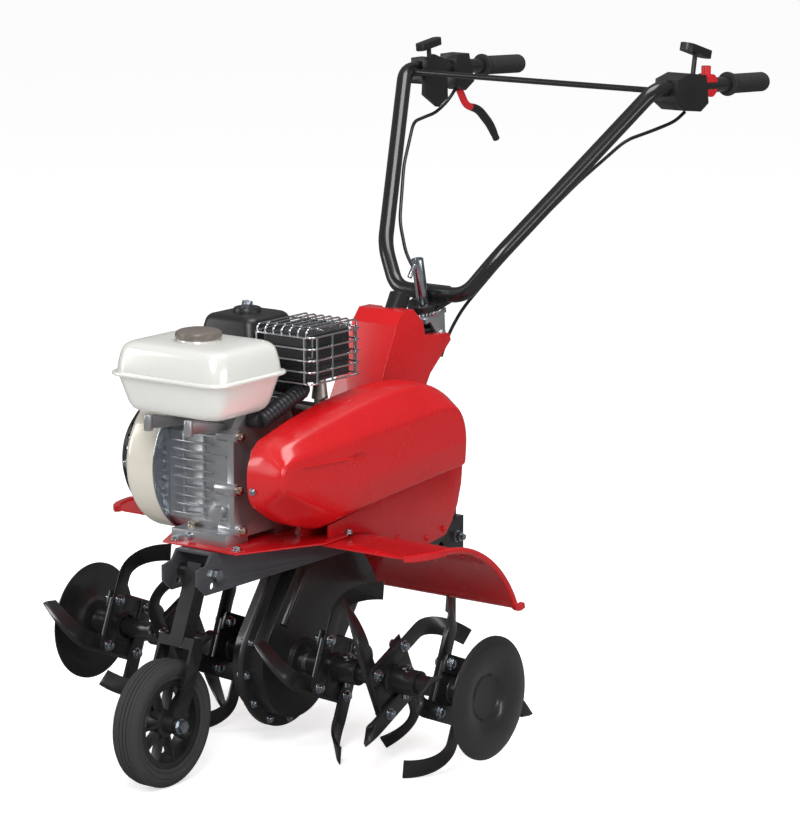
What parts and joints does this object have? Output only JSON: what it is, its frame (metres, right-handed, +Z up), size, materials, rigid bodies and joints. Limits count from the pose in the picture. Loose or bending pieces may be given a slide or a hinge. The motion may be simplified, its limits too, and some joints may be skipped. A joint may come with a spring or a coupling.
{
  "type": "mini tiller",
  "caption": "Walk-behind mini tiller: sickle tine rotor under a steel deck, small petrol engine, folding front transport wheel and swivelling handlebar with grips.",
  "frame": {"origin": "on the ground, under the middle of the machine's length and width", "axes": "+X forward to the transport wheel, +Y to the operator's left, +Z up"},
  "size_m": [1.4034, 0.796, 1.053],
  "materials": {
    "red_paint": "gloss",
    "black_paint": "gloss",
    "grey_paint": "semi-gloss",
    "tine_paint": "gloss",
    "tank_ivory": "gloss",
    "fan_cream": "gloss",
    "case_casting": "painted black",
    "engine_casting": "as cast",
    "zinc": "zinc plated",
    "shaft_steel": "bare",
    "exhaust_steel": "heat tinted",
    "guard_wire": "bright",
    "head_casting": "as cast",
    "black_plastic": "satin",
    "red_plastic": "gloss",
    "cap_plastic": "satin",
    "hose_rubber": "satin",
    "grip_rubber": "matt",
    "cable_black": "satin",
    "tyre_rubber": "matt"
  },
  "bodies": {
    "chassis": {"deck_plate": "red_paint", "fender_left": "red_paint", "fender_right": "red_paint", "front_channel": "grey_paint", "gear_case": "case_casting", "rear_hitch": "black_paint", "column": "black_paint", "tower_cover": "red_plastic", "belt_cover": "red_plastic", "belt_skirt": "red_paint", "crankcase": "engine_casting", "engine_cylinder": "engine_casting", "rocker_cover": "black_plastic", "fan_cover": "fan_cream", "fan_shroud": "zinc", "recoil_starter": "black_plastic", "tank_brackets": "zinc", "fuel_tank": "tank_ivory", "fuel_cap": "cap_plastic", "air_cleaner": "black_plastic", "carburettor": "engine_casting", "intake_hose": "hose_rubber", "exhaust_pipe": "exhaust_steel", "muffler": "black_paint", "muffler_guard": "guard_wire", "arm_bolts": "zinc", "hitch_bolt": "zinc"},
    "wheel_arm": {"wheel_arm": "black_paint", "wheel_bolt": "zinc"},
    "front_wheel": {"wheel_rim": "black_plastic", "tyre": "tyre_rubber"},
    "rotor": {"rotor_shaft": "shaft_steel", "tines_left_inner": "tine_paint", "tines_left_middle": "tine_paint", "tines_left_outer": "tine_paint", "tines_right_inner": "tine_paint", "tines_right_middle": "tine_paint", "tines_right_outer": "tine_paint", "end_discs": "tine_paint", "lock_pins": "zinc"},
    "depth_bar": {"depth_bar": "black_paint"},
    "handle_head": {"head_block": "head_casting", "swivel_disc": "zinc"},
    "handlebar": {"bar_saddle": "black_paint", "clamp_nut": "zinc", "handlebar": "black_paint", "crossbar": "black_paint", "grips": "grip_rubber", "left_controls": "black_plastic", "stop_switch": "red_plastic", "right_controls": "black_plastic", "clutch_lever": "red_plastic", "control_cables": "cable_black"}
  },
  "joints": [
    {"name": "wheel_arm_swing", "type": "hinge", "parent": "chassis", "child": "wheel_arm", "pos_m": [0.51675, 0, 0.313], "axis": [0, -1, 0], "range_deg": [0, 95]},
    {"name": "front_wheel_spin", "type": "hinge", "parent": "wheel_arm", "child": "front_wheel", "pos_m": [0.60375, 0, 0.0975], "axis": [0, 1, 0], "continuous": true},
    {"name": "rotor_spin", "type": "hinge", "parent": "chassis", "child": "rotor", "pos_m": [0.30775, 0, 0.13383], "axis": [0, 1, 0], "continuous": true},
    {"name": "depth_bar_slide", "type": "slide", "parent": "chassis", "child": "depth_bar", "axis": [0, 0, 1], "range_m": [-0.06, 0.1]},
    {"name": "handle_height", "type": "hinge", "parent": "chassis", "child": "handle_head", "pos_m": [-0.08525, 0, 0.598], "axis": [0, 1, 0], "range_deg": [-12, 6]},
    {"name": "handle_swivel", "type": "hinge", "parent": "handle_head", "child": "handlebar", "pos_m": [-0.06825, 0, 0.63], "axis": [0.2164, 0, 0.9763], "range_deg": [-30, 30]}
  ]
}
